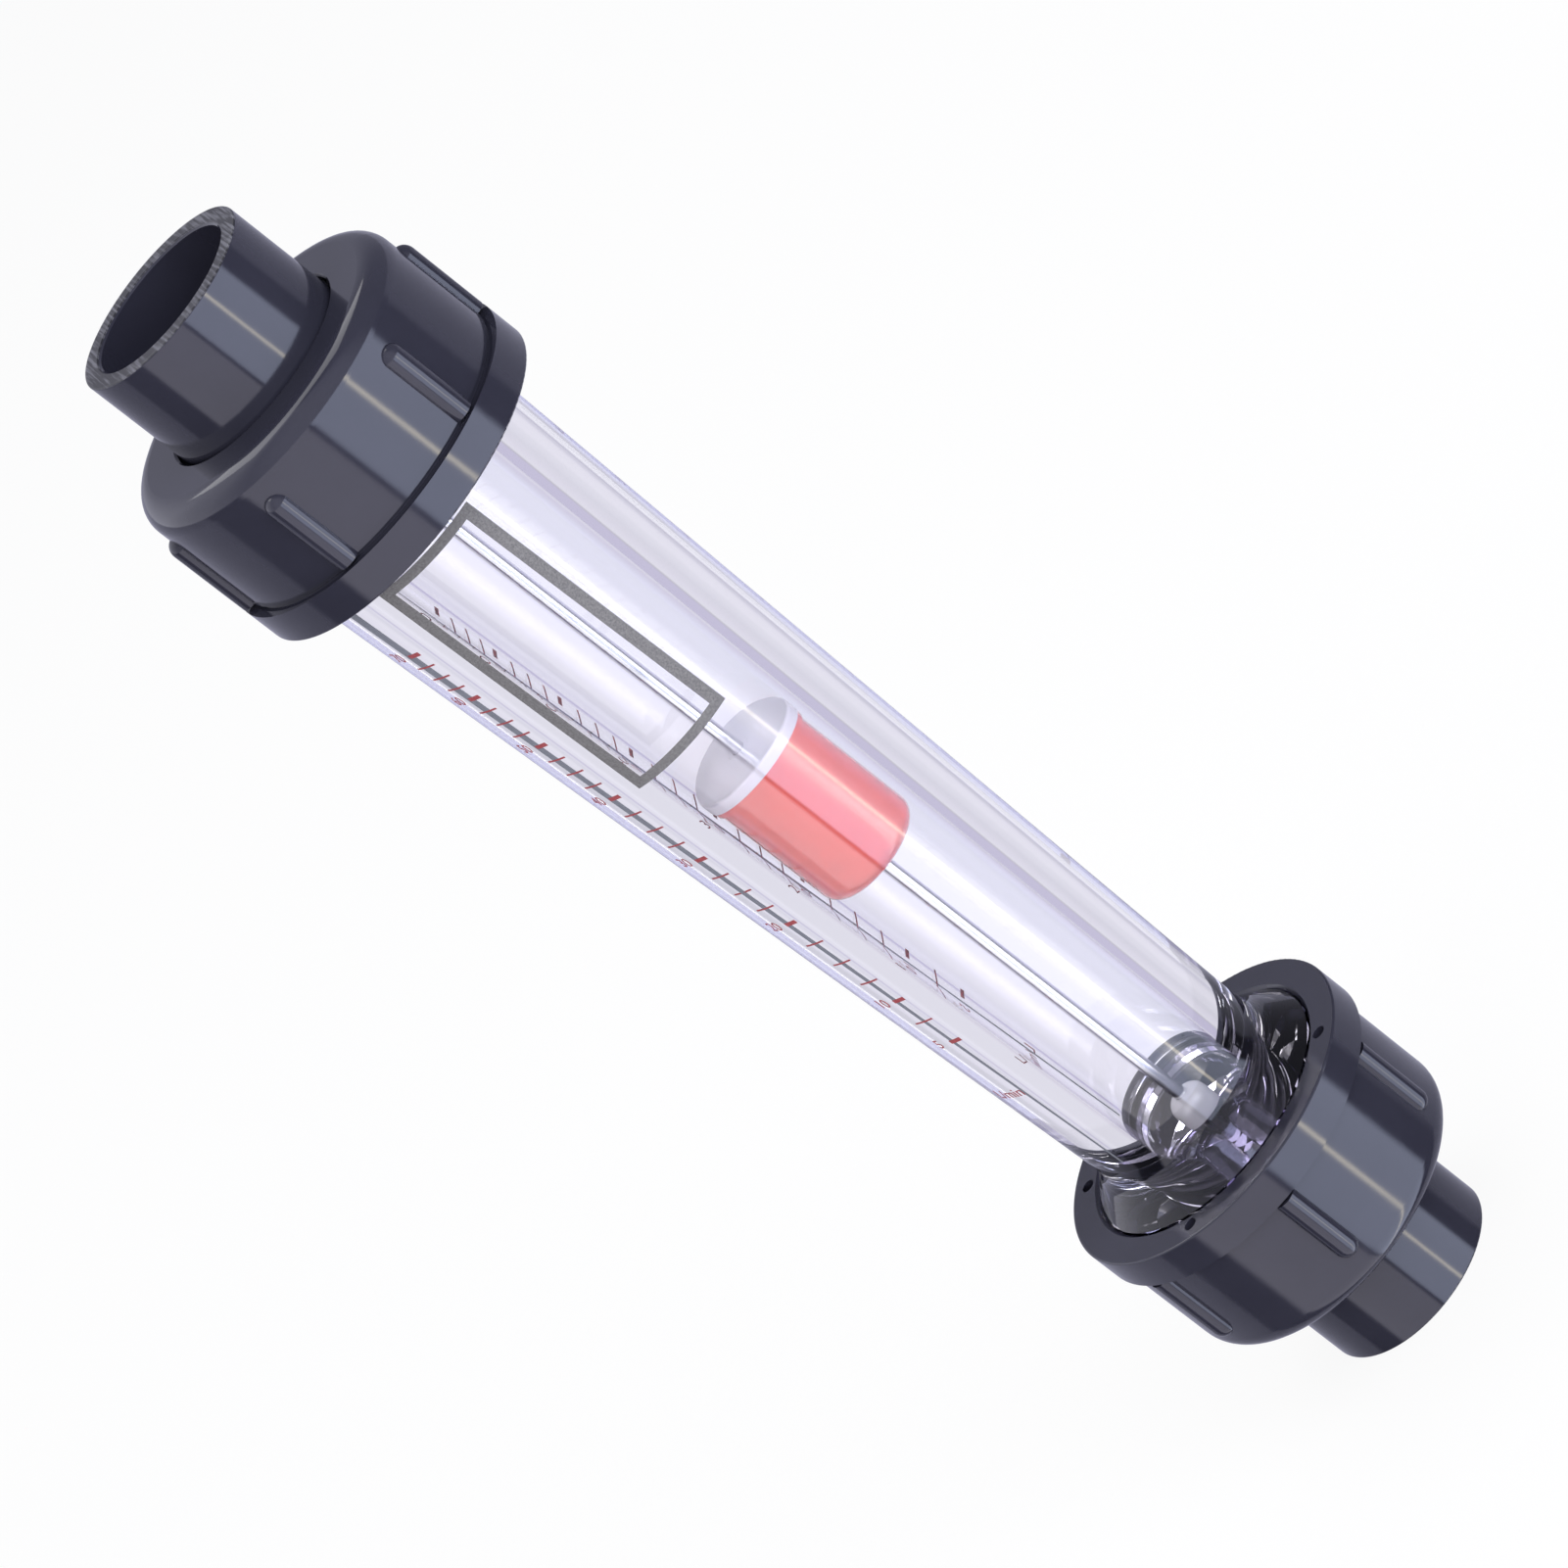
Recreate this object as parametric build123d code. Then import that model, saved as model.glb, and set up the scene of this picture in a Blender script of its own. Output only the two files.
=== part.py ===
"""In-line water flow meter: a float on a guide rod in a clear tapered tube, between two pipe unions.

Millimetres. The tube's axis is Z, water flows upwards, and the origin is the centre of the lower end face.
"""
import os

from build123d import *

# Pipe and tail pieces
pipe_diameter = 40.0
socket_clearance = 0.1
socket_depth = 26.0
socket_mouth_chamfer = 0.7
tail_wall = 4.9
waterway_radius = 17.5
tail_reach = 27.0
tail_flange_thickness = 7.5
tail_edge_fillet = 0.5

# Union nuts
nut_length = 43.0
nut_lip_thickness = 6.5
nut_wall = 6.1
nut_tail_clearance = 0.8
nut_shoulder_fillet = 6.0
nut_rim_width = 9.3
nut_rim_height = 2.3
nut_groove_width = 0.9
nut_groove_depth = 0.5
nut_mouth_chamfer = 0.9
rib_count = 6
rib_width = 6.4
rib_length = 23.6
spanner_hole_count = 4
spanner_hole_diameter = 3.6
spanner_hole_depth = 6.0
spanner_hole_edge = 3.1

# Threads, drawn at their major diameter
thread_radius = 34.5
thread_clearance = 0.4
flange_clearance = 0.9

# Metering tube
tube_length = 313.0
collar_recess = 0.2
tube_foot_radius = 26.0
tube_head_radius = 32.7
flare_height = 8.7
flare_fillet = 10.0
bore_foot_radius = 15.2
bore_head_radius = 20.3
bore_straight_length = 42.0

# Seals
seal_radius = 27.5
seal_width = 4.0
seal_height = 2.9
seal_side_gap = 0.1
seal_corner = 1.3

# Rod and its holders
rod_radius = 1.75
rod_end_chamfer = 0.4
rod_fit_clearance = 0.08
rod_end_gap = 0.2
holder_ring_height = 5.0
holder_ring_gap = 0.2
holder_ring_width = 3.5
hub_radius = 5.0
hub_height = 29.3
hub_foot = 3.0
hub_hole_depth = 16.0
blade_count = 4
blade_thickness = 3.0
blade_bore_gap = 0.5
blade_foot = 1.0
blade_top_gap = 2.0

# Stops at the ends of the float's travel
stop_radius = 5.3
stop_height = 9.0
stop_dome = 3.2

# Float
float_rest_height = 179.6
cup_radius = 14.6
cup_height = 40.0
cup_wall = 3.4
cup_floor = 3.6
cup_corner = 5.5
cup_lip_radius = 15.2
cup_lip_height = 1.8
cup_post_wall = 1.6
cap_radius = 15.5
cap_thickness = 3.0
cap_edge_fillet = 0.6
cap_spigot_height = 4.0
cap_spigot_wall = 2.6
spigot_clearance = 0.1
bush_wall = 1.2
bush_height = 5.0
bush_seat_gap = 0.05

# How the ends are turned about the axis, in degrees from the front towards +X
lower_nut_turn = -6.0
upper_nut_turn = 31.0
holder_turn = 45.0

# Sizes that follow from the ones above
socket_radius = pipe_diameter / 2 + socket_clearance
tail_radius = socket_radius + tail_wall
tube_foot = tail_reach + nut_lip_thickness + tail_flange_thickness
total_length = 2 * tube_foot + tube_length
nut_face = tail_reach + nut_length
nut_bore_radius = thread_radius + thread_clearance
nut_barrel_radius = nut_bore_radius + nut_wall
nut_rim_radius = nut_barrel_radius + nut_rim_height
tail_flange_radius = nut_bore_radius - flange_clearance
collar_length = nut_face - collar_recess - tube_foot
holder_ring_radius = waterway_radius + holder_ring_width
hub_top = tube_foot + hub_height
stop_tip = hub_top + stop_height
cup_top = float_rest_height + cup_height
cap_top = cup_top + cap_thickness
bush_radius = rod_radius + rod_fit_clearance + bush_wall


def turned(outline):
    """A solid of revolution about Z from a closed outline of (radius, height) points."""
    return revolve(Plane.XZ * make_face(Polyline(*outline, close=True)), Axis.Z)


def ring(outer, inner, low, high):
    """A plain tube between two heights."""
    return turned([(inner, low), (outer, low), (outer, high), (inner, high)])


def circles_at(part, radius, height):
    """The circular edges of a part at one radius and height."""
    return [
        edge
        for edge in part.edges().filter_by(GeomType.CIRCLE)
        if abs(edge.radius - radius) < 1e-3 and abs(edge.center().Z - height) < 1e-3
        and abs(edge.arc_center.X) < 1e-3 and abs(edge.arc_center.Y) < 1e-3
    ]


def around(count, first=0.0):
    """Turns for a pattern about Z; the first copy faces the front, which is -Y."""
    return [Rot(0, 0, first - 90 + 360 * k / count) for k in range(count)]


def at_top(part):
    """The same piece fitted to the other end of the meter."""
    return Pos(0, 0, total_length) * Rot(180, 0, 0) * part


def tail_piece():
    """Pipe socket with a flange that the union nut's lip pulls against the tube."""
    flange_low = tube_foot - tail_flange_thickness
    body = turned([
        (socket_radius, 0),
        (tail_radius, 0),
        (tail_radius, flange_low),
        (tail_flange_radius, flange_low),
        (tail_flange_radius, tube_foot),
        (waterway_radius, tube_foot),
        (waterway_radius, socket_depth),
        (socket_radius, socket_depth),
    ])
    body = fillet(circles_at(body, tail_radius, 0), tail_edge_fillet)
    body = fillet(circles_at(body, tail_flange_radius, tube_foot), tail_edge_fillet)
    return chamfer(circles_at(body, socket_radius, 0), socket_mouth_chamfer)


def union_nut(turn):
    """Union nut: a lip behind the tail piece's flange, a barrel with grip ribs and a rim at the thread's mouth."""
    opening = tail_radius + nut_tail_clearance
    lip_top = tail_reach + nut_lip_thickness
    rim_low = nut_face - nut_rim_width
    groove_low = rim_low - nut_groove_width
    nut = turned([
        (opening, tail_reach),
        (nut_barrel_radius, tail_reach),
        (nut_barrel_radius, groove_low),
        (nut_barrel_radius - nut_groove_depth, groove_low),
        (nut_barrel_radius - nut_groove_depth, rim_low),
        (nut_rim_radius, rim_low),
        (nut_rim_radius, nut_face),
        (nut_bore_radius, nut_face),
        (nut_bore_radius, lip_top),
        (opening, lip_top),
    ])
    nut = fillet(circles_at(nut, nut_barrel_radius, tail_reach), nut_shoulder_fillet)
    nut = fillet(circles_at(nut, nut_rim_radius, nut_face), tail_edge_fillet)
    nut = chamfer(circles_at(nut, opening, tail_reach), tail_edge_fillet)
    nut = chamfer(circles_at(nut, nut_bore_radius, nut_face), nut_mouth_chamfer)

    rib_radius = rib_width / 2
    rib_centre = nut_rim_radius - rib_radius
    rib = Pos(rib_centre, 0, groove_low - rib_length + rib_radius) * (
        Cylinder(rib_radius, rib_length - rib_radius, align=(Align.CENTER, Align.CENTER, Align.MIN))
        + Sphere(rib_radius)
    )
    for place in around(rib_count, turn):
        nut += place * rib

    hole = Cylinder(
        spanner_hole_diameter / 2, spanner_hole_depth, align=(Align.CENTER, Align.CENTER, Align.MAX)
    )
    hole_centre = nut_rim_radius - spanner_hole_edge - spanner_hole_diameter / 2
    for place in around(spanner_hole_count, turn - 180 / rib_count):
        nut -= place * Pos(hole_centre, 0, nut_face) * hole
    return nut


def tube_radius_at(height):
    """Outer radius of the clear tube between its collars."""
    low = nut_face - collar_recess
    high = total_length - low
    share = (height - low) / (high - low)
    return tube_foot_radius + share * (tube_head_radius - tube_foot_radius)


def metering_tube():
    """Clear tapered tube with its two threaded collars, moulded as one piece round a tapered bore."""
    tube_head = tube_foot + tube_length
    collar_top = tube_foot + collar_length
    collar_base = tube_head - collar_length
    flare_top = collar_top + flare_height
    flare_top_radius = tube_radius_at(flare_top)
    tube = turned([
        (0, tube_foot),
        (thread_radius, tube_foot),
        (thread_radius, collar_top),
        (flare_top_radius, flare_top),
        (tube_head_radius, collar_base),
        (thread_radius, collar_base),
        (thread_radius, tube_head),
        (0, tube_head),
    ])
    tube = fillet(circles_at(tube, flare_top_radius, flare_top), flare_fillet)

    recess_radius = holder_ring_radius + holder_ring_gap
    bore_turn = tube_foot + bore_straight_length
    bore_head = tube_head - holder_ring_height
    tube -= turned([
        (0, tube_foot - 1),
        (recess_radius, tube_foot - 1),
        (recess_radius, tube_foot + holder_ring_height),
        (bore_foot_radius, tube_foot + holder_ring_height),
        (bore_foot_radius, bore_turn),
        (bore_head_radius, bore_head),
        (recess_radius, bore_head),
        (recess_radius, tube_head + 1),
        (0, tube_head + 1),
    ])

    groove_half = seal_width / 2 + seal_side_gap
    groove = ring(seal_radius + groove_half, seal_radius - groove_half, tube_foot - 1, tube_foot + seal_height)
    tube -= groove
    tube -= at_top(groove)
    return tube


def o_ring():
    """Seal in its groove, squeezed flush by the tail piece's flange."""
    seal = ring(
        seal_radius + seal_width / 2, seal_radius - seal_width / 2, tube_foot, tube_foot + seal_height
    )
    return fillet(seal.edges().filter_by(GeomType.CIRCLE), seal_corner)


def rod_holder(turn):
    """Spider: a ring clamped against the tube's end, blades, and a hub with a blind hole for the rod."""
    ring_top = tube_foot + holder_ring_height
    holder = ring(holder_ring_radius, waterway_radius, tube_foot, ring_top)
    hub_low = tube_foot + hub_foot
    holder += Pos(0, 0, hub_low) * Cylinder(
        hub_radius, hub_top - hub_low, align=(Align.CENTER, Align.CENTER, Align.MIN)
    )
    blade_reach = bore_foot_radius - blade_bore_gap
    blade_low = tube_foot + blade_foot
    outline = Polyline(
        (0, hub_low + blade_foot),
        (hub_radius, blade_low),
        (waterway_radius + holder_ring_width / 2, blade_low),
        (waterway_radius + holder_ring_width / 2, ring_top - blade_foot),
        (blade_reach, ring_top),
        (blade_reach, hub_top - blade_top_gap),
        (0, hub_top - blade_top_gap),
        close=True,
    )
    blade = extrude(Plane.XZ * make_face(outline), blade_thickness / 2, both=True)
    for place in around(blade_count, turn):
        holder += place * blade
    hole_radius = rod_radius + rod_fit_clearance
    holder -= Pos(0, 0, hub_top) * Cylinder(
        hole_radius, hub_hole_depth, align=(Align.CENTER, Align.CENTER, Align.MAX)
    )
    return holder


def float_stop():
    """Domed bumper threaded on the rod against the holder's hub."""
    stop = ring(stop_radius, rod_radius + rod_fit_clearance, hub_top, stop_tip)
    return fillet(circles_at(stop, stop_radius, stop_tip), stop_dome)


def guide_rod():
    """Stainless rod between the blind holes of the two hubs."""
    low = hub_top - hub_hole_depth + rod_end_gap
    rod = ring(rod_radius, 0, low, total_length - low)
    return chamfer(rod.edges().filter_by(GeomType.CIRCLE), rod_end_chamfer)


def float_cup():
    """Red cup with a rounded foot, a small lip and a hollow post round the rod."""
    low = float_rest_height
    seat = bush_radius + bush_seat_gap
    post_radius = seat + cup_post_wall
    post_top = cup_top - cap_spigot_height - spigot_clearance
    inner = cup_radius - cup_wall
    cup = turned([
        (seat, low),
        (cup_radius, low),
        (cup_radius, cup_top - cup_lip_height),
        (cup_lip_radius, cup_top - cup_lip_height),
        (cup_lip_radius, cup_top),
        (inner, cup_top),
        (inner, low + cup_floor),
        (post_radius, low + cup_floor),
        (post_radius, post_top),
        (seat, post_top),
    ])
    return fillet(circles_at(cup, cup_radius, low), cup_corner)


def float_cap():
    """White lid: a disc a little wider than the cup, with a spigot that plugs it."""
    seat = bush_radius + bush_seat_gap
    spigot = cup_radius - cup_wall - spigot_clearance
    spigot_low = cup_top - cap_spigot_height
    cap = turned([
        (seat, cup_top),
        (spigot - cap_spigot_wall, cup_top),
        (spigot - cap_spigot_wall, spigot_low),
        (spigot, spigot_low),
        (spigot, cup_top),
        (cap_radius, cup_top),
        (cap_radius, cap_top),
        (seat, cap_top),
    ])
    return fillet(circles_at(cap, cap_radius, cap_top), cap_edge_fillet)


def float_bush(low, height):
    """Slippery bush that runs on the rod."""
    return ring(bush_radius, rod_radius + rod_fit_clearance, low, low + height)


parts = {
    "metering_tube": metering_tube(),
    "guide_rod": guide_rod(),
    "lower_rod_holder": rod_holder(holder_turn),
    "upper_rod_holder": at_top(rod_holder(holder_turn)),
    "lower_float_stop": float_stop(),
    "upper_float_stop": at_top(float_stop()),
    "lower_o_ring": o_ring(),
    "upper_o_ring": at_top(o_ring()),
    "float_cup": float_cup(),
    "float_cap": float_cap(),
    "float_lower_bush": float_bush(float_rest_height, bush_height),
    "float_upper_bush": float_bush(cup_top, cap_thickness),
    "lower_tail_piece": tail_piece(),
    "upper_tail_piece": at_top(tail_piece()),
    "lower_union_nut": union_nut(lower_nut_turn),
    "upper_union_nut": at_top(union_nut(180 - upper_nut_turn)),
}

os.makedirs("parts", exist_ok=True)
for name, part in parts.items():
    export_step(part, f"parts/{name}.step")
    box = part.bounding_box()
    print(f"{name}: {part.volume / 1000:.1f} cm3, z {box.min.Z:.1f} to {box.max.Z:.1f}, solids {len(part.solids())}")
print(f"total length {total_length:.1f}, rim diameter {2 * nut_rim_radius:.1f}")
print(f"float travel down {float_rest_height - stop_tip:.1f}, up {total_length - stop_tip - cap_top:.1f}")
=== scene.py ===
"""Looks of the in-line water flow meter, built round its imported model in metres."""
import math

import bpy
from mathutils import Matrix, Vector


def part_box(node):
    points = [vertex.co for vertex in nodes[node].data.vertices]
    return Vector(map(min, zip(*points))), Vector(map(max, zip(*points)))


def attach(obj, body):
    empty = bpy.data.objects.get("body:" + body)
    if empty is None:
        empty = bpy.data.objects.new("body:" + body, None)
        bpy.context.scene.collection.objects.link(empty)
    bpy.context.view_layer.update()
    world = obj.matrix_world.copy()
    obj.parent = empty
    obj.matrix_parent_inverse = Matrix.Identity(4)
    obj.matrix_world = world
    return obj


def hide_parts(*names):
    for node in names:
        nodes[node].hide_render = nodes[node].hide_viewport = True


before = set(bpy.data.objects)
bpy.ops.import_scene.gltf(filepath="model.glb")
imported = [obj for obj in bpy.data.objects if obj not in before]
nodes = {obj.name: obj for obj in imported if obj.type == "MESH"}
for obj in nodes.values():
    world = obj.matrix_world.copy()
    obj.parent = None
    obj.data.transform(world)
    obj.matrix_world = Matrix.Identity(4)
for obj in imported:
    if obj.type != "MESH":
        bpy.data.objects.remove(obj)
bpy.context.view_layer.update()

# Metering tube
# One thick clear moulding with a faint violet cast: a tapered tube with a threaded collar at each end.
# It is injection-moulded round a polished tapered core, and both unions screw on to its collars.

MM = 0.001
crease_angle = math.radians(30)


class Sock:
    """A shader socket that can be added, multiplied and compared in plain expressions."""

    def __init__(self, tree, out):
        self.tree = tree
        self.out = out

    def node(self, kind, settings=None, outlet=0, **inputs):
        """Adds a node, sets its settings, then fills its sockets with values or links."""
        made = self.tree.nodes.new(kind)
        for key, value in (settings or {}).items():
            if key == "stops":
                ramp = made.color_ramp
                while len(ramp.elements) > 1:
                    ramp.elements.remove(ramp.elements[0])
                ramp.elements[0].position = value[0][0]
                ramp.elements[0].color = value[0][1]
                for place, colour in value[1:]:
                    ramp.elements.new(place).color = colour
            else:
                setattr(made, key, value)
        for key, value in inputs.items():
            place = int(key[1:]) if key[0] == "_" and key[1:].isdigit() else key.replace("_", " ")
            if isinstance(value, Sock):
                self.tree.links.new(value.out, made.inputs[place])
            else:
                made.inputs[place].default_value = value
        return Sock(self.tree, made.outputs[outlet])

    def maths(self, operation, *values):
        """Adds a maths node on the values given."""
        numbered = {f"_{place}": value for place, value in enumerate(values)}
        return self.node("ShaderNodeMath", {"operation": operation}, **numbered)

    def __add__(self, other):
        return self.maths("ADD", self, other)

    def __radd__(self, other):
        return self.maths("ADD", other, self)

    def __sub__(self, other):
        return self.maths("SUBTRACT", self, other)

    def __rsub__(self, other):
        return self.maths("SUBTRACT", other, self)

    def __mul__(self, other):
        return self.maths("MULTIPLY", self, other)

    def __rmul__(self, other):
        return self.maths("MULTIPLY", other, self)

    def __truediv__(self, other):
        return self.maths("DIVIDE", self, other)

    def __gt__(self, other):
        return self.maths("GREATER_THAN", self, other)

    def __lt__(self, other):
        return self.maths("LESS_THAN", self, other)


def new_material(name):
    """A material with an empty tree: returns it, a starting socket and its output node."""
    material = bpy.data.materials.new(name)
    material.use_nodes = True
    tree = material.node_tree
    tree.nodes.clear()
    output = tree.nodes.new("ShaderNodeOutputMaterial")
    return material, Sock(tree, None), output


def blend(start, share, low, high):
    """A colour that runs from low to high as share runs from 0 to 1."""
    return start.node("ShaderNodeMix", {"data_type": "RGBA"}, outlet=2, _0=share, _6=low, _7=high)


def surface(start, output, **finish):
    """Ends a material in one surface shader with the finish given."""
    body = start.node("ShaderNodeBsdfPrincipled", **finish)
    start.tree.links.new(body.out, output.inputs["Surface"])


def dress(piece, material):
    """Gives a piece one material."""
    piece.data.materials.clear()
    piece.data.materials.append(material)


def deselect():
    """Leaves nothing selected, so that the next operator acts on its own piece alone."""
    bpy.ops.object.select_all(action="DESELECT")


def lathe(name, outline, segments=256):
    """Turns a closed outline of (radius, height) points about Z, from a circle extruded ring by ring."""
    deselect()
    radius, height = outline[0]
    bpy.ops.mesh.primitive_circle_add(vertices=segments, radius=radius, location=(0, 0, height))
    piece = bpy.context.object
    piece.name = name
    bpy.ops.object.transform_apply()
    bpy.ops.object.mode_set(mode="EDIT")
    bpy.ops.mesh.select_all(action="SELECT")
    for next_radius, next_height in outline[1:] + outline[:1]:
        bpy.ops.mesh.extrude_edges_move(TRANSFORM_OT_translate={"value": (0, 0, next_height - height)})
        grow = next_radius / radius
        bpy.ops.transform.resize(value=(grow, grow, 1), center_override=(0, 0, 0))
        radius, height = next_radius, next_height
    bpy.ops.mesh.select_all(action="SELECT")
    bpy.ops.mesh.remove_doubles(threshold=1e-6)
    bpy.ops.mesh.normals_make_consistent(inside=False)
    bpy.ops.object.mode_set(mode="OBJECT")
    bpy.ops.object.shade_smooth_by_angle(angle=crease_angle)
    return piece


def rounded(start, corner, end, radius, steps):
    """Points of a fillet between two straight runs of an outline."""
    a, b, c = Vector(start), Vector(corner), Vector(end)
    u, w = (a - b).normalized(), (c - b).normalized()
    half = u.angle(w) / 2
    reach = radius / math.tan(half)
    centre = b + (u + w).normalized() * radius / math.sin(half)
    first, last = b + u * reach, b + w * reach
    turn = (first - centre).angle_signed(last - centre)
    points = []
    for k in range(steps + 1):
        arm = (first - centre).copy()
        arm.rotate(Matrix.Rotation(-turn * k / steps, 2))
        points.append(tuple(centre + arm))
    return points


tube_low, tube_high = (corner.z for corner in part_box("metering_tube"))
thread_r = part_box("metering_tube")[1].x
collar = 28.8 * MM
flare_height, flare_fillet = 8.7 * MM, 10 * MM
foot_r, head_r = 26 * MM, 32.7 * MM
bore_foot, bore_head = 15.2 * MM, 20.3 * MM
bore_straight = 42 * MM
recess_r, recess_depth = 21.2 * MM, 5 * MM
seal_in, seal_out, seal_depth = 25.4 * MM, 29.6 * MM, 2.9 * MM
collar_top, collar_base = tube_low + collar, tube_high - collar


def outer_r(height):
    """Outside radius of the tube between its collars."""
    share = (height - collar_top) / (collar_base - collar_top)
    return foot_r + share * (head_r - foot_r)


flare_top = collar_top + flare_height
flare = rounded(
    (thread_r, collar_top), (outer_r(flare_top), flare_top), (head_r, collar_base), flare_fillet, steps=10
)
lower_face = [
    (recess_r, tube_low), (seal_in, tube_low), (seal_in, tube_low + seal_depth),
    (seal_out, tube_low + seal_depth), (seal_out, tube_low),
]
upper_face = [
    (seal_out, tube_high), (seal_out, tube_high - seal_depth), (seal_in, tube_high - seal_depth),
    (seal_in, tube_high), (recess_r, tube_high),
]
outside = [(thread_r, tube_low), (thread_r, collar_top)] + flare
outside += [(head_r, collar_base), (thread_r, collar_base), (thread_r, tube_high)]
inside = [
    (recess_r, tube_high - recess_depth), (bore_head, tube_high - recess_depth),
    (bore_foot, tube_low + bore_straight), (bore_foot, tube_low + recess_depth),
    (recess_r, tube_low + recess_depth),
]
tube = lathe("metering_tube_clear", lower_face + outside + upper_face + inside)

# Each collar's thread is one helical groove: a wedge swept by the screw modifier and taken away.
thread_pitch, thread_depth, thread_turns = 4 * MM, 2.1 * MM, 6
groove_mouth, groove_root = 3.4 * MM, 0.9 * MM
wedge_overhang, wedge_flare, steps_per_turn = 1 * MM, 1.3, 96
wedge_reach, wedge_mouth = thread_depth + wedge_overhang, groove_mouth * wedge_flare
lower_start = tube_low - thread_pitch / 2
upper_start = tube_high + thread_pitch / 2 - thread_turns * thread_pitch
for start_height in (lower_start, upper_start):
    deselect()
    wedge_middle = thread_r + wedge_overhang - wedge_reach / 2
    bpy.ops.mesh.primitive_plane_add(
        size=1, location=(wedge_middle, 0, start_height), rotation=(math.pi / 2, 0, 0)
    )
    wedge = bpy.context.object
    wedge.scale = (wedge_reach, wedge_mouth, 1)
    bpy.ops.object.transform_apply()
    for vertex in wedge.data.vertices:
        if vertex.co.x < thread_r:
            vertex.co.z = start_height + (vertex.co.z - start_height) * groove_root / wedge_mouth
    bpy.ops.object.mode_set(mode="EDIT")
    bpy.ops.mesh.select_all(action="SELECT")
    bpy.ops.mesh.delete(type="ONLY_FACE")
    bpy.ops.object.mode_set(mode="OBJECT")
    sweep = wedge.modifiers.new("helix", "SCREW")
    sweep.screw_offset, sweep.iterations = thread_pitch, thread_turns
    sweep.steps = sweep.render_steps = steps_per_turn
    bpy.ops.object.modifier_apply(modifier=sweep.name)
    bpy.ops.object.mode_set(mode="EDIT")
    bpy.ops.mesh.select_all(action="SELECT")
    bpy.ops.mesh.fill_holes(sides=0)
    bpy.ops.mesh.select_all(action="SELECT")
    bpy.ops.mesh.normals_make_consistent(inside=False)
    bpy.ops.object.mode_set(mode="OBJECT")
    cut = tube.modifiers.new("thread", "BOOLEAN")
    cut.operation, cut.object = "DIFFERENCE", wedge
    bpy.context.view_layer.objects.active = tube
    bpy.ops.object.modifier_apply(modifier=cut.name)
    bpy.data.objects.remove(wedge, do_unlink=True)
deselect()
tube.select_set(True)
bpy.ops.object.shade_smooth_by_angle(angle=crease_angle)

# The plastic's violet cast shows most in the thick collars, so it deepens below the flare.
cast_full, cast_faint = collar_top + 2 * MM, flare_top + 4 * MM
clear, start, output = new_material("clear_plastic")
place = start.node("ShaderNodeTexCoord", outlet=3)
height = start.node("ShaderNodeSeparateXYZ", outlet=2, _0=place)
thick_end = start.node(
    "ShaderNodeMapRange", {"interpolation_type": "SMOOTHSTEP"}, _0=height, _1=cast_full, _2=cast_faint,
    _3=1.0, _4=0.0
)
cast = blend(start, thick_end, (0.970, 0.965, 1.0, 1), (0.90, 0.87, 1.0, 1))
surface(start, output, Base_Color=cast, Roughness=0.0, IOR=1.52, Transmission_Weight=1.0)
dress(tube, clear)
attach(tube, "tube")
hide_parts("metering_tube")

# Printed scale
# Red ticks and plain numerals, screen-printed on the tube, beside a painted grey line that widens upwards: a
# painted image of the guide rod as the thick wall refracts it. A painted second image of the scale and of
# that line lies on the bore wall.
# A print is drawn flat, azimuth in degrees across and height upwards, and then wrapped on as an ink film.
ink_depth = 0.05 * MM
degrees_per_cut, steps_per_curve = 3, 3


def stripe(west, east, low, high):
    """A flat strip between two azimuths and two heights, for the print and for the painted images."""
    deselect()
    bpy.ops.mesh.primitive_plane_add(size=1, location=((west + east) / 2, (low + high) / 2, 0))
    piece = bpy.context.object
    piece.scale = (east - west, high - low, 1)
    bpy.ops.object.transform_apply()
    bpy.ops.object.mode_set(mode="EDIT")
    bpy.ops.mesh.select_all(action="SELECT")
    bpy.ops.mesh.subdivide(number_cuts=max(1, round((east - west) / degrees_per_cut)))
    bpy.ops.object.mode_set(mode="OBJECT")
    return piece


def lettering(words, size, azimuth, height, wall=outer_r):
    """Plain figures, centred on an azimuth and a height of a wall, read with the tube upright."""
    deselect()
    bpy.ops.object.text_add()
    piece = bpy.context.object
    piece.data.body = words
    piece.data.size = size
    piece.data.align_x, piece.data.align_y = "CENTER", "CENTER"
    piece.data.resolution_u = steps_per_curve
    bpy.ops.object.convert(target="MESH")
    across = math.degrees(1 / wall(height))
    for vertex in piece.data.vertices:
        vertex.co = (azimuth + vertex.co.x * across, height + vertex.co.y, 0)
    return piece


def printed(name, flat_pieces, ink, wall=outer_r, lift=0.03 * MM):
    """Joins flat prints and painted images, wraps them on a wall of the tube, and gives them an ink film's
    thickness.
    """
    deselect()
    for piece in flat_pieces:
        piece.select_set(True)
    bpy.context.view_layer.objects.active = flat_pieces[0]
    bpy.ops.object.join()
    film = bpy.context.object
    film.name = name
    for vertex in film.data.vertices:
        azimuth, height = math.radians(vertex.co.x), vertex.co.y
        reach = wall(height) + lift
        vertex.co = (reach * math.sin(azimuth), -reach * math.cos(azimuth), height)
    thick = film.modifiers.new("film", "SOLIDIFY")
    thick.thickness, thick.offset = ink_depth, 1
    bpy.ops.object.modifier_apply(modifier=thick.name)
    bpy.ops.object.mode_set(mode="EDIT")
    bpy.ops.mesh.select_all(action="SELECT")
    bpy.ops.mesh.normals_make_consistent(inside=False)
    bpy.ops.object.mode_set(mode="OBJECT")
    dress(film, ink)
    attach(film, "tube")
    return film


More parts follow.
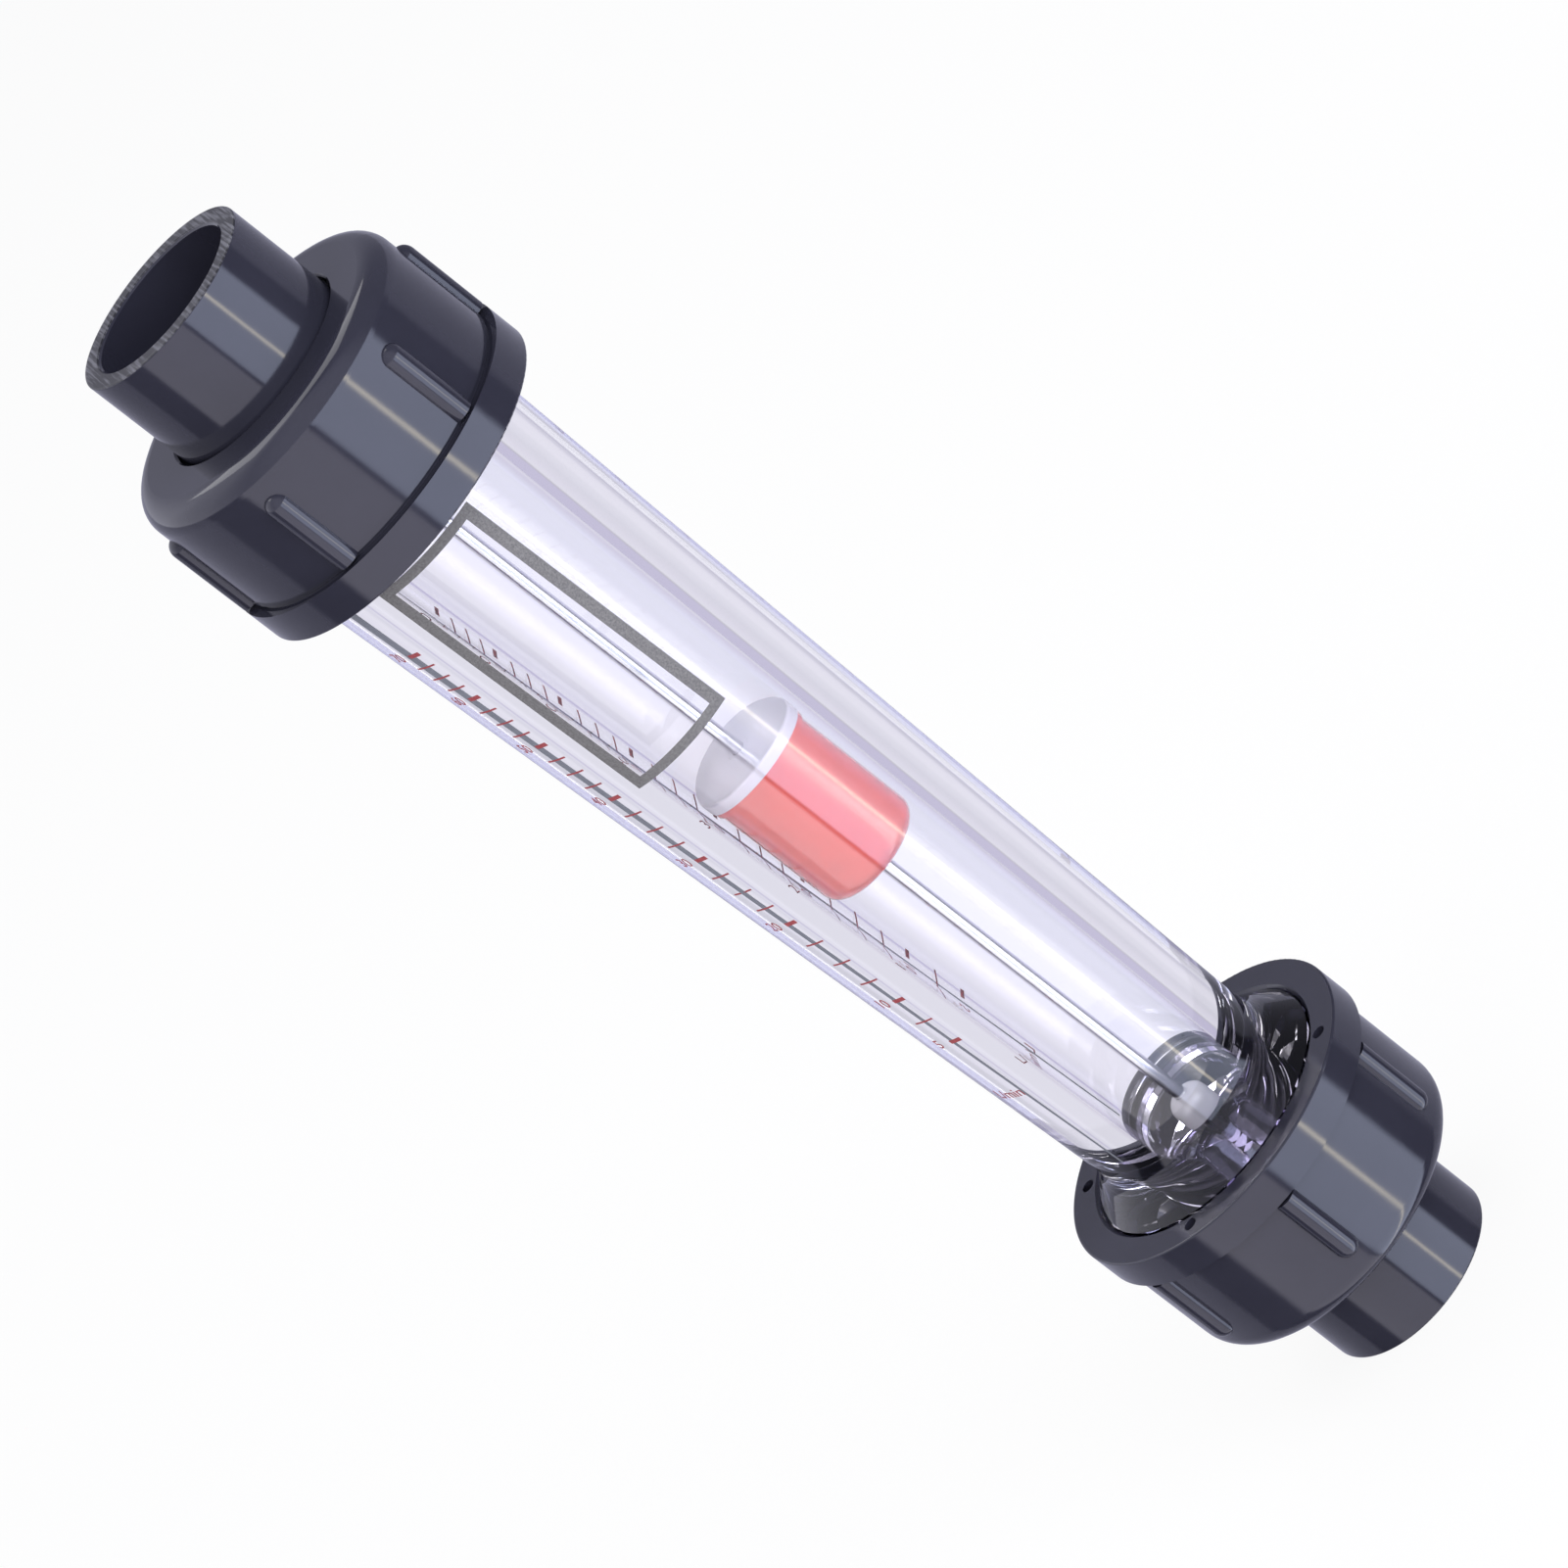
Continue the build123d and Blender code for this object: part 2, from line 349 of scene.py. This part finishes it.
def matt_film_material(name, colour, worn):
    """A matt film whose density wanders a little, as screen ink pulled through a mesh does; it makes the
    print's inks and the paint of the painted images.
    """
    ink, start, output = new_material(name)
    place = start.node("ShaderNodeTexCoord", outlet=3)
    grain = start.node("ShaderNodeTexNoise", _0=place, Scale=2400.0, Detail=2.0)
    pale = tuple(c + (1 - c) * worn for c in colour[:3]) + (1,)
    tone = blend(start, grain, colour, pale)
    surface(start, output, Base_Color=tone, Roughness=0.5, Specular_IOR_Level=0.25)
    return ink


scale_heights = [139.8, 157.4, 190.6, 217.8, 243.6, 265.3, 284.9, 302.3]
scale_figures = ["5", "10", "20", "30", "40", "50", "60", "70"]
major_width, minor_width = 1.2 * MM, 0.5 * MM
unit_height = 118 * MM


def flow_scale(tick_start, major_end, minor_end, figure_azimuth, figure_size, wall=outer_r):
    """Every tick, figure and unit of one scale, with the first gap halved and the others quartered."""
    marks = []
    for k, height in enumerate(scale_heights):
        middle, half = height * MM, major_width / 2
        marks.append(stripe(major_end, tick_start, middle - half, middle + half))
        marks.append(lettering(scale_figures[k], figure_size, figure_azimuth, middle, wall))
        if k:
            parts = 2 if k == 1 else 4
            last, half = scale_heights[k - 1], minor_width / 2
            for j in range(1, parts):
                middle = (last + (height - last) * j / parts) * MM
                marks.append(stripe(minor_end, tick_start, middle - half, middle + half))
    marks.append(lettering("L/min", figure_size, figure_azimuth, unit_height, wall))
    return marks


def leaning(flat_pieces, lean, drop=0):
    """Leans flat prints by degrees of azimuth for each millimetre above the first tick, and lowers them."""
    for piece in flat_pieces:
        for vertex in piece.data.vertices:
            vertex.co.x += lean * (vertex.co.y / MM - scale_heights[0])
            vertex.co.y -= drop
    return flat_pieces


# The last three values place the painted images of the scale and of the grey line on the bore wall.
scale_lean, scale_image_lean, scale_image_drop, painted_image_lift = -0.045, 0.09, 3 * MM, -0.1 * MM
marks = flow_scale(tick_start=-49.5, major_end=-57, minor_end=-62, figure_azimuth=-66, figure_size=4.6 * MM)
red_ink = matt_film_material("red_ink", (0.30, 0.012, 0.02, 1), 0.1)
printed("flow_scale", leaning(marks, scale_lean), red_ink)


def bore_r(height):
    """Radius of the tapered bore."""
    share = (height - tube_low - bore_straight) / (tube_high - recess_depth - tube_low - bore_straight)
    return bore_foot + max(share, 0) * (bore_head - bore_foot)


# Painted image: a darker, lowered and leaned copy of the scale, laid just inside the bore wall, stands for
# the image of the print that the thick wall shows a second time.
scale_image_marks = flow_scale(
    tick_start=-120, major_end=-108, minor_end=-66, figure_azimuth=-90, figure_size=5.0 * MM, wall=bore_r
)
scale_image_paint = matt_film_material("scale_image_paint", (0.20, 0.008, 0.016, 1), 0.05)
printed("painted_scale_image", leaning(scale_image_marks, scale_image_lean, scale_image_drop), scale_image_paint, bore_r, painted_image_lift)


def painted_rod_image(azimuth, low, high, thin, thick):
    """A stripe one degree wide, spread to so many degrees at its thin foot and its thick head."""
    line = stripe(azimuth - 0.5, azimuth + 0.5, low, high)
    for vertex in line.data.vertices:
        spread = thin + (thick - thin) * (vertex.co.y - low) / (high - low)
        vertex.co.x = azimuth + (vertex.co.x - azimuth) * spread
    return line


# Painted image: the widening grey lines stand for the guide rod seen refracted through the thick wall,
# painted as a dark film on the outer wall and again on the bore wall.
rod_image_paint = matt_film_material("rod_image_paint", (0.12, 0.13, 0.17, 1), 0.15)
line_foot, line_head = 86 * MM, collar_base - 2 * MM
line_lean, rod_copy_lean = -0.05, 0.15
near_rod_stripe = painted_rod_image(-55, line_foot, line_head, thin=1.2, thick=5.5)
printed("painted_rod_image", leaning([near_rod_stripe], line_lean), rod_image_paint)
rod_copy_stripe = painted_rod_image(-99, line_foot, line_head, thin=2.6, thick=9.0)
printed("painted_rod_copy", leaning([rod_copy_stripe], rod_copy_lean), rod_image_paint, bore_r, painted_image_lift)

# Printed panel
# A plain dark frame for the user's notes, left blank inside.
# It is screen-printed on the front of the tube with the same kind of matt ink as the scale.
panel_west, panel_east, panel_low, panel_high = -42.6, 10.8, 242.8 * MM, 320.8 * MM
panel_line, panel_side, panel_middle = 2.5 * MM, 3.0 * MM, 280 * MM
panel_slant = 0.033
panel_arc = math.degrees(panel_side / outer_r(panel_middle))
frame_sides = [
    stripe(panel_west, panel_east, panel_low, panel_low + panel_line),
    stripe(panel_west, panel_east, panel_high - panel_line, panel_high),
    stripe(panel_west, panel_west + panel_arc, panel_low + panel_line, panel_high - panel_line),
    stripe(panel_east - panel_arc, panel_east, panel_low + panel_line, panel_high - panel_line),
]
for side in frame_sides:
    for vertex in side.data.vertices:
        share = (vertex.co.x - panel_west) / (panel_east - panel_west)
        vertex.co.x += share * panel_slant * (panel_high - vertex.co.y) / MM
panel_ink = matt_film_material("panel_ink", (0.05, 0.045, 0.05, 1), 0.22)
printed("blank_panel", frame_sides, panel_ink)

# Rod holders and stops
# The holders are clear bladed spiders that drop into the ends of the tube; their hubs take the rod.
# The stops are small domes of milky plastic pushed on to the rod, and both kinds are injection-moulded.

milky, start, output = new_material("milky_plastic")
place = start.node("ShaderNodeTexCoord", outlet=3)
flow = start.node("ShaderNodeTexNoise", _0=place, Scale=160.0, Detail=3.0)
tone = blend(start, flow, (0.56, 0.55, 0.56, 1), (0.68, 0.67, 0.68, 1))
grain = start.node("ShaderNodeTexNoise", _0=place, Scale=1500.0)
relief = start.node("ShaderNodeBump", Strength=0.15, Distance=0.0001, Height=grain)
surface(
    start, output, Base_Color=tone, Roughness=flow * 0.15 + 0.15, Normal=relief, IOR=1.5,
    Transmission_Weight=0.3
)
for name in ("lower_float_stop", "upper_float_stop"):
    dress(nodes[name], milky)
for name in ("lower_rod_holder", "upper_rod_holder"):
    dress(nodes[name], clear)

# Guide rod
# A stainless steel rod, drawn and lightly polished, that runs the length of the bore.
# Its ends are pushed into the holders' hubs, and fine die lines run along it.

steel, start, output = new_material("drawn_steel")
place = start.node("ShaderNodeTexCoord", outlet=3)
along = start.node("ShaderNodeMapping", _0=place, _3=(2500.0, 2500.0, 12.0))
drawn = start.node("ShaderNodeTexNoise", _0=along, Scale=1.0, Detail=3.0)
tone = blend(start, drawn, (0.74, 0.74, 0.76, 1), (0.90, 0.90, 0.91, 1))
scratches = start.node("ShaderNodeBump", Strength=0.2, Distance=0.00005, Height=drawn)
surface(start, output, Base_Color=tone, Metallic=1.0, Roughness=drawn * 0.2 + 0.12, Normal=scratches)
dress(nodes["guide_rod"], steel)

# Float
# A hollow moulding in two parts: a translucent red cup, closed by a milky white lid welded into its mouth.
# A slippery white bush is pressed into each, and the float slides up and down the rod on the two.

float_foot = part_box("float_cup")[0].z
thick_floor, floor_share = 5 * MM, 0.6
red, start, output = new_material("red_plastic")
place = start.node("ShaderNodeTexCoord", outlet=3)
height = start.node("ShaderNodeSeparateXYZ", outlet=2, _0=place)
near_floor = start.node(
    "ShaderNodeMapRange", {"interpolation_type": "SMOOTHSTEP"}, _0=height, _1=float_foot,
    _2=float_foot + thick_floor, _3=1.0, _4=0.0
)
flow = start.node("ShaderNodeTexNoise", _0=place, Scale=70.0, Detail=3.0)
cup_wall = blend(start, flow, (0.93, 0.165, 0.135, 1), (0.97, 0.205, 0.175, 1))
tone = blend(start, near_floor * floor_share, cup_wall, (0.80, 0.08, 0.07, 1))
surface(
    start, output, Base_Color=tone, Roughness=flow * 0.08 + 0.06, IOR=1.5, Transmission_Weight=0.25,
    Coat_Weight=0.6, Coat_Roughness=0.05
)
dress(nodes["float_cup"], red)
white, start, output = new_material("white_plastic")
place = start.node("ShaderNodeTexCoord", outlet=3)
flow = start.node("ShaderNodeTexNoise", _0=place, Scale=90.0, Detail=2.0)
tone = blend(start, flow, (0.95, 0.90, 0.97, 1), (0.99, 0.96, 1.0, 1))
surface(start, output, Base_Color=tone, Roughness=flow * 0.15 + 0.12, IOR=1.5, Transmission_Weight=0.3)
for name in ("float_cap", "float_lower_bush", "float_upper_bush"):
    dress(nodes[name], white)

# Seals
# Black nitrile rubber rings, compression-moulded, with a faint bloom on the skin.
# Each lies in the groove of a tube end face and is squeezed by the flange of a tail piece.

rubber, start, output = new_material("seal_rubber")
place = start.node("ShaderNodeTexCoord", outlet=3)
bloom = start.node("ShaderNodeTexNoise", _0=place, Scale=300.0, Detail=3.0)
tone = blend(start, bloom, (0.014, 0.014, 0.015, 1), (0.045, 0.044, 0.043, 1))
pores = start.node("ShaderNodeBump", Strength=0.3, Distance=0.0001, Height=bloom)
surface(start, output, Base_Color=tone, Roughness=bloom * 0.25 + 0.45, Normal=pores)
for name in ("lower_o_ring", "upper_o_ring"):
    dress(nodes[name], rubber)

# Tail pieces and union nuts
# Thick injection mouldings of dark blue-grey PVC with a glossy skin; the sockets' ends are sawn to length.
# Each nut traps a tail piece by its flange and screws on to the tube's collar.

sawn_skin, chatter_contrast, chatter_cut = 0.3 * MM, 6, 2.8
sawn_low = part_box("lower_tail_piece")[0].z + sawn_skin
sawn_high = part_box("upper_tail_piece")[1].z - sawn_skin
pvc, start, output = new_material("grey_pvc")
place = start.node("ShaderNodeTexCoord", outlet=3)
height = start.node("ShaderNodeSeparateXYZ", outlet=2, _0=place)
sawn = start.maths("MAXIMUM", height < sawn_low, height > sawn_high)
flow = start.node("ShaderNodeTexNoise", _0=place, Scale=45.0, Detail=4.0)
skin = blend(start, flow, (0.018, 0.018, 0.029, 1), (0.028, 0.028, 0.043, 1))
across = start.node("ShaderNodeMapping", _0=place, _3=(1500.0, 90.0, 1.0))
chatter = start.node("ShaderNodeTexNoise", _0=across, Scale=1.0, Detail=2.0)
tooth_marks = chatter * chatter_contrast - chatter_cut
cut_face = blend(start, tooth_marks, (0.010, 0.010, 0.014, 1), (0.11, 0.11, 0.13, 1))
tone = blend(start, sawn, skin, cut_face)
peel = start.node("ShaderNodeTexNoise", _0=place, Scale=420.0, Detail=1.0)
texture = peel * 0.25 + chatter * sawn * 7
relief = start.node("ShaderNodeBump", Strength=0.1, Distance=0.0002, Height=texture)
surface(start, output, Base_Color=tone, Roughness=flow * 0.08 + sawn * 0.3 + 0.06, Normal=relief, IOR=1.53)
for name in ("lower_tail_piece", "upper_tail_piece", "lower_union_nut", "upper_union_nut"):
    dress(nodes[name], pvc)

# Studio
# A roll of white paper under the meter, with soft panels round it that the glossy plastic reflects.
# Three large lamps light it evenly, and the camera stands at the front, above the meter.

paper_size, paper_glow = 8, 0.9
deselect()
bpy.ops.mesh.primitive_plane_add(size=paper_size, location=(0, 0, 0))
floor = bpy.context.object
floor.name = "floor"
paper, start, output = new_material("white_paper")
seen = start.node("ShaderNodeLightPath", outlet=0)
glossy = start.node("ShaderNodeLightPath", outlet=3)
through = start.node("ShaderNodeLightPath", outlet=6)
matt = start.node("ShaderNodeBsdfDiffuse", Color=(0.85, 0.85, 0.86, 1))
glow = start.node("ShaderNodeEmission", Color=(1, 1, 1, 1), Strength=1.0)
bright = start.node("ShaderNodeMixShader", _0=seen * paper_glow, _1=matt, _2=glow)
open_air = start.node("ShaderNodeBsdfTransparent", Color=(1, 1, 1, 1))
either = start.maths("MAXIMUM", glossy, through)
mixed = start.node("ShaderNodeMixShader", _0=either, _1=bright, _2=open_air)
paper.node_tree.links.new(mixed.out, output.inputs["Surface"])
dress(floor, paper)

world = bpy.data.worlds.new("studio")
bpy.context.scene.world = world
world.use_nodes = True
world.node_tree.nodes.clear()
sky = Sock(world.node_tree, None)


def around_studio(*stops):
    """Ramp stops from (azimuth in degrees, colour), where 0 is behind the camera and 180 the backdrop."""
    return [((azimuth + 180) / 360, colour + (1,)) for azimuth, colour in stops]


def grey(level):
    """A neutral colour of one level."""
    return (level, level, level)


heading = sky.node("ShaderNodeTexCoord", outlet=0)
east = sky.node("ShaderNodeSeparateXYZ", outlet=0, _0=heading)
north = sky.node("ShaderNodeSeparateXYZ", outlet=1, _0=heading)
rise = sky.node("ShaderNodeSeparateXYZ", outlet=2, _0=heading)
bearing = sky.maths("ARCTAN2", east, north * -1) / (2 * math.pi) + 0.5
lavender, dusk, haze = (0.591, 0.562, 0.72), (0.717, 0.71, 0.78), (0.802, 0.795, 0.86)
day, edge = (0.844, 0.832, 0.9), (0.443, 0.403, 0.62)
behind = sky.node("ShaderNodeValToRGB", {"stops": around_studio(
    (-180, day), (-171, day), (-167, haze), (-164, dusk), (-161, (0.76, 0.753, 0.84)), (-157.5, haze),
    (-156.5, edge), (-155.5, edge), (-154.5, haze), (-150, (0.823, 0.816, 0.89)), (-146, (0.886, 0.88, 0.95)),
    (-140, haze), (-111, haze), (-107, (0.696, 0.668, 0.76)), (-104, haze), (-102, edge), (-96, edge),
    (96, edge), (102, edge), (104, haze), (106, lavender), (120, lavender), (122, (0.527, 0.519, 0.57)),
    (124, haze), (131, (0.781, 0.763, 0.85)), (146, dusk), (152, (0.76, 0.753, 0.82)),
    (163, (0.781, 0.774, 0.84)), (168, day), (180, day),
)}, _0=bearing)
before = sky.node("ShaderNodeValToRGB", {"stops": around_studio(
    (-100, grey(0.05)), (-74, grey(0.05)), (-70, grey(1.5)), (-12, grey(1.5)), (-10.5, grey(0.02)),
    (-6.5, grey(0.02)), (-5, (1.3, 1.4, 1.9)), (24, (1.4, 1.5, 2.0)), (31, grey(2.2)), (37, grey(3.6)),
    (46, grey(3.6)), (54, grey(1.2)), (62, grey(0.4)), (74, grey(0.15)), (97, grey(0.1)),
)}, _0=bearing)
backdrop = blend(sky, north < 0.0, behind, before)
cool, shade, grey_wall = (0.74, 0.81, 1.05), (0.035, 0.035, 0.05), (0.43, 0.42, 0.49)
strip, dark_wall = (3.0, 2.8, 2.4), (0.14, 0.14, 0.18)
panels = sky.node("ShaderNodeValToRGB", {"stops": around_studio(
    (-180, dark_wall), (-101, dark_wall), (-97, shade), (-70, shade), (-66, grey_wall), (-7.5, grey_wall),
    (-6.5, shade), (-3.5, shade), (-2.5, cool), (29, cool), (30.4, strip), (31.8, strip), (33.2, cool),
    (64, cool), (69, shade), (92, shade), (98, dark_wall), (180, dark_wall),
)}, _0=bearing)
dull, pale_wall = (0.12, 0.12, 0.15), (0.36, 0.36, 0.42)
low_light, dim_side = (0.2, 0.2, 0.25), (0.07, 0.07, 0.09)
ceiling = sky.node("ShaderNodeValToRGB", {"stops": around_studio(
    (-180, dull), (-140, pale_wall), (-100, pale_wall), (-60, low_light), (0, (0.25, 0.25, 0.3)),
    (40, low_light), (70, dim_side), (140, dim_side), (180, dull),
)}, _0=bearing)
horizon = 0.02
level = blend(sky, rise > horizon, panels, ceiling)
camera_ray = sky.node("ShaderNodeLightPath", outlet=0)
glossy_ray = sky.node("ShaderNodeLightPath", outlet=3)
clear_ray = sky.node("ShaderNodeLightPath", outlet=6)
plain = sky.node("ShaderNodeBackground", Color=(1, 1, 1, 1), Strength=1.0)
dim = sky.node("ShaderNodeBackground", Color=(0.93, 0.94, 1, 1), Strength=0.5)
mirrored = sky.node("ShaderNodeBackground", Color=level, Strength=3.2)
refracted = sky.node("ShaderNodeBackground", Color=backdrop, Strength=1.0)
mixed = sky.node("ShaderNodeMixShader", _0=glossy_ray, _1=dim, _2=mirrored)
mixed = sky.node("ShaderNodeMixShader", _0=clear_ray, _1=mixed, _2=refracted)
mixed = sky.node("ShaderNodeMixShader", _0=camera_ray, _1=mixed, _2=plain)
world_output = world.node_tree.nodes.new("ShaderNodeOutputWorld")
world.node_tree.links.new(mixed.out, world_output.inputs["Surface"])

middle_height = 0.2


def soft_box(name, azimuth, elevation, distance, width, height, power, colour):
    """A rectangular lamp that faces the middle of the meter."""
    light = bpy.data.lights.new(name, "AREA")
    light.shape = "RECTANGLE"
    light.size, light.size_y = width, height
    light.energy = power
    light.color = colour
    lamp = bpy.data.objects.new(name, light)
    bpy.context.scene.collection.objects.link(lamp)
    az, el = math.radians(azimuth), math.radians(elevation)
    arm = Vector((math.sin(az) * math.cos(el), -math.cos(az) * math.cos(el), math.sin(el)))
    lamp.location = Vector((0, 0, middle_height)) + arm * distance
    lamp.rotation_euler = arm.to_track_quat("Z", "Y").to_euler()
    return lamp


key = soft_box(
    "key_panel", azimuth=35, elevation=30, distance=1.6, width=1.0, height=1.6, power=22,
    colour=(0.93, 0.95, 1.0)
)
fill = soft_box(
    "fill_panel", azimuth=-40, elevation=25, distance=1.8, width=1.2, height=1.6, power=14,
    colour=(1.0, 0.98, 0.97)
)
soft_box(
    "top_panel", azimuth=180, elevation=65, distance=1.8, width=1.4, height=1.4, power=12,
    colour=(1.0, 1.0, 1.0)
)
key.visible_glossy = False
fill.visible_glossy = False

camera_place = Vector((0, -1.5713, 0.8727))
camera_forward = Vector((0.0, 0.92059, -0.39053))
camera_right = Vector((0.614785, -0.308063, -0.726042))
photo_side = 1601
focal_pixels = 7599.6
lens = bpy.data.cameras.new("photo_camera")
lens.sensor_fit = "HORIZONTAL"
lens.sensor_width = 36
lens.lens = lens.sensor_width * focal_pixels / photo_side
lens.clip_start, lens.clip_end = 0.05, 30
camera = bpy.data.objects.new("photo_camera", lens)
bpy.context.scene.collection.objects.link(camera)
camera_up = camera_right.cross(camera_forward)
camera.matrix_world = Matrix.Translation(camera_place) @ Matrix(
    (camera_right, camera_up, -camera_forward)
).transposed().to_4x4()
bpy.context.scene.camera = camera
bpy.context.scene.view_settings.view_transform = "Standard"
